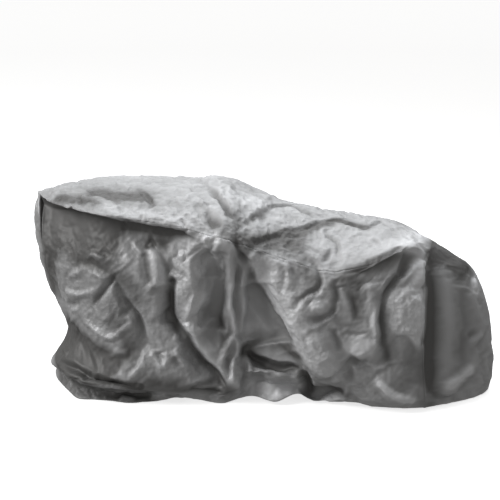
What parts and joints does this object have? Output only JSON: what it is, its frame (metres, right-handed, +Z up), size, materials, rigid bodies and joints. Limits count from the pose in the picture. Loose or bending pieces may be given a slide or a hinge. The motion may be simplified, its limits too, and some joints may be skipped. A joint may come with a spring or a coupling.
{
  "type": "motorcycle cover",
  "caption": "Fitted cloth cover draped over a motorcycle, sewn from a centre strip and side panels, hollow and open underneath.",
  "frame": {"origin": "on the floor, in the middle of the cover's length and width", "axes": "+X along the length towards the lower, rounder end; -Y towards the side that the picture shows; +Z up"},
  "size_m": [2.3284, 0.947, 1.0348],
  "materials": {
    "coated_cloth": "silver-grey coated, creased, half gloss"
  },
  "bodies": {
    "root": {"side_panel_near": "coated_cloth", "side_panel_far": "coated_cloth", "centre_strip": "coated_cloth"}
  },
  "joints": []
}
